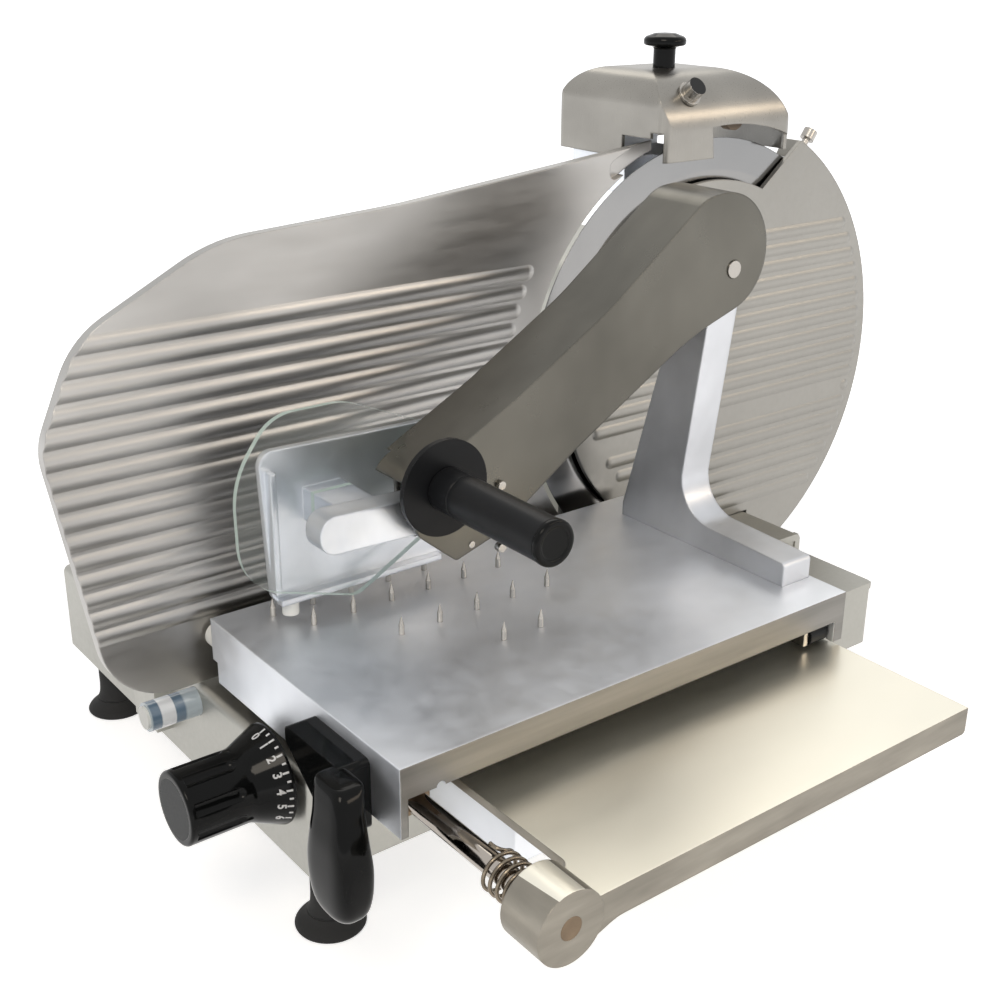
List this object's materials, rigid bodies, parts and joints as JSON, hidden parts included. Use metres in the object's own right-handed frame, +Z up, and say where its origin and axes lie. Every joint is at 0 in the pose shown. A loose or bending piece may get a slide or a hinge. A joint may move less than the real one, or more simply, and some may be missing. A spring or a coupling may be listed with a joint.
{
  "type": "hand fed gravity meat slicer",
  "caption": "Countertop meat slicer: a round blade with ring guard and ribbed gauge plate, a sliding spiked meat table with press arm, a dial and a blade sharpener.",
  "frame": {"origin": "on the worktop, under the middle of the whole machine's outline seen from above", "axes": "+X along the blade plane, the way the carriage is pushed to cut; +Y away from the operator, square to the blade; +Z up"},
  "size_m": [0.7494, 0.605, 0.5315],
  "materials": {
    "cast_aluminium": "satin, tumbled casting",
    "polished_aluminium": "polished",
    "base_aluminium": "anodised, fine satin",
    "blade_steel": "hollow ground, polished",
    "bright_steel": "turned",
    "chrome": "hard chrome",
    "gloss_black": "moulded, gloss",
    "satin_black": "moulded, satin",
    "cap_grey": "moulded",
    "black_rubber": "moulded",
    "dark_roller": "turned",
    "white_nylon": "turned",
    "bronze": "sintered, oiled",
    "gear_steel": "cut",
    "clear_guard": "clear acrylic",
    "stone": "vitrified abrasive",
    "fine_stone": "vitrified abrasive, fine",
    "switch_clear": "translucent, banded",
    "switch_grey": "moulded"
  },
  "bodies": {
    "base": {"base_housing": "base_aluminium", "base_bottom_plate": "bright_steel", "rubber_feet": "black_rubber", "foot_screws": "bright_steel", "blade_support": "cast_aluminium", "spindle_bearings": "bright_steel", "ring_guard": "cast_aluminium", "blade_cover": "cast_aluminium", "motor_housing": "base_aluminium", "motor_body": "cast_aluminium", "drive_belt": "black_rubber", "sharpener_hood": "cast_aluminium", "button_collar": "bright_steel", "gauge_guide_bars": "bright_steel", "guide_rod": "bright_steel", "switch_barrel": "switch_clear", "cord_gland": "black_rubber"},
    "cover_screw": {"cover_thumbscrew": "bright_steel"},
    "blade_unit": {"blade": "blade_steel", "blade_screws": "bright_steel", "blade_spindle": "bright_steel", "blade_pulley": "bright_steel"},
    "motor_rotor": {"motor_shaft": "bright_steel", "motor_pulley": "bright_steel"},
    "gauge": {"gauge_plate": "cast_aluminium", "gauge_slide": "bright_steel"},
    "dial": {"dial_knob": "gloss_black", "dial_cap": "cap_grey", "dial_shaft": "bright_steel"},
    "cam": {"cam_gear": "gear_steel"},
    "sharpener": {"sharpener_knob": "gloss_black", "stone_carrier": "cast_aluminium"},
    "grinding_wheel": {"grinding_stone": "stone"},
    "honing_wheel": {"honing_stone": "fine_stone"},
    "hone_plunger": {"honing_button": "bright_steel"},
    "switch": {"switch_button": "switch_grey"},
    "carriage": {"carriage_plate": "polished_aluminium", "carriage_slider": "cast_aluminium", "slider_bushes": "bronze", "feed_rod": "chrome", "bumper_spring": "bright_steel", "support_shoe": "white_nylon"},
    "table": {"meat_table": "cast_aluminium", "table_bush": "bronze", "table_spikes": "bright_steel", "rear_button": "white_nylon", "roller_axle": "bright_steel", "handle_mount": "gloss_black", "carriage_handle": "gloss_black", "arm_post": "cast_aluminium", "arm_pivot_pin": "bright_steel"},
    "roller": {"table_roller": "dark_roller"},
    "arm": {"press_arm": "cast_aluminium", "pusher_pin": "bright_steel", "guard_disc": "satin_black", "grip_stud": "bright_steel"},
    "grip": {"press_grip": "satin_black"},
    "pusher": {"pusher_tray": "cast_aluminium", "pusher_foot": "white_nylon", "clear_guard": "clear_guard"}
  },
  "joints": [
    {"name": "blade_spin", "type": "hinge", "parent": "base", "child": "blade_unit", "pos_m": [0.1702, 0.0465, 0.28], "axis": [0, 1, 0], "continuous": true},
    {"name": "motor_spin", "type": "hinge", "parent": "base", "child": "motor_rotor", "pos_m": [0.1562, 0.1365, 0.19], "axis": [0, 1, 0], "continuous": true},
    {"name": "gauge_travel", "type": "slide", "parent": "base", "child": "gauge", "axis": [0, 1, 0], "range_m": [0, 0.016]},
    {"name": "dial_turn", "type": "hinge", "parent": "base", "child": "dial", "pos_m": [-0.3098, -0.0625, 0.118], "axis": [1, 0, 0], "range_deg": [0, 331]},
    {"name": "cam_turn", "type": "hinge", "parent": "base", "child": "cam", "pos_m": [-0.2778, -0.0475, 0.094], "axis": [1, 0, 0], "range_deg": [-125, 0]},
    {"name": "carriage_travel", "type": "slide", "parent": "base", "child": "carriage", "axis": [1, 0, 0], "range_m": [0, 0.29]},
    {"name": "table_feed", "type": "slide", "parent": "carriage", "child": "table", "axis": [0, 1, 0], "range_m": [-0.074, 0]},
    {"name": "roller_spin", "type": "hinge", "parent": "table", "child": "roller", "pos_m": [0.0652, -0.1795, 0.1533], "axis": [1, 0, 0], "range_deg": [-1, 531]},
    {"name": "arm_swing", "type": "hinge", "parent": "table", "child": "arm", "pos_m": [0.0672, -0.0565, 0.3887], "axis": [0, 1, 0], "range_deg": [0, 65]},
    {"name": "grip_spin", "type": "hinge", "parent": "arm", "child": "grip", "pos_m": [-0.1778, -0.1335, 0.287], "axis": [0, 1, 0], "continuous": true},
    {"name": "pusher_tilt", "type": "hinge", "parent": "arm", "child": "pusher", "pos_m": [-0.1678, -0.0565, 0.262], "axis": [0, 1, 0], "range_deg": [0, 15]},
    {"name": "sharpener_drop", "type": "slide", "parent": "base", "child": "sharpener", "axis": [0, 0, 1], "range_m": [-0.012, 0]},
    {"name": "grinding_spin", "type": "hinge", "parent": "sharpener", "child": "grinding_wheel", "pos_m": [0.1462, 0.0595, 0.475], "axis": [0, 1, 0], "continuous": true},
    {"name": "honing_spin", "type": "hinge", "parent": "sharpener", "child": "honing_wheel", "pos_m": [0.1822, 0.0385, 0.4715], "axis": [0, 1, 0], "continuous": true},
    {"name": "hone_press", "type": "slide", "parent": "base", "child": "hone_plunger", "axis": [0, 0.788, -0.6157], "range_m": [0, 0.004], "stiffness_N_per_m": 400, "springref_m": -0.002},
    {"name": "switch_press", "type": "slide", "parent": "base", "child": "switch", "axis": [1, 0, 0], "range_m": [0, 0.003], "stiffness_N_per_m": 400, "springref_m": -0.002},
    {"name": "cover_screw_turn", "type": "hinge", "parent": "base", "child": "cover_screw", "pos_m": [0.28433, 0.0535, 0.43709], "axis": [0.5878, 0, 0.809], "range_deg": [0, 360]}
  ],
  "couplings": [
    {"joint": "motor_spin", "follows": "blade_spin", "ratio": 2.6},
    {"joint": "dial_turn", "follows": "gauge_travel", "rad_per_m": 359.9},
    {"joint": "cam_turn", "follows": "gauge_travel", "rad_per_m": -134.96},
    {"joint": "roller_spin", "follows": "table_feed", "rad_per_m": -125}
  ]
}
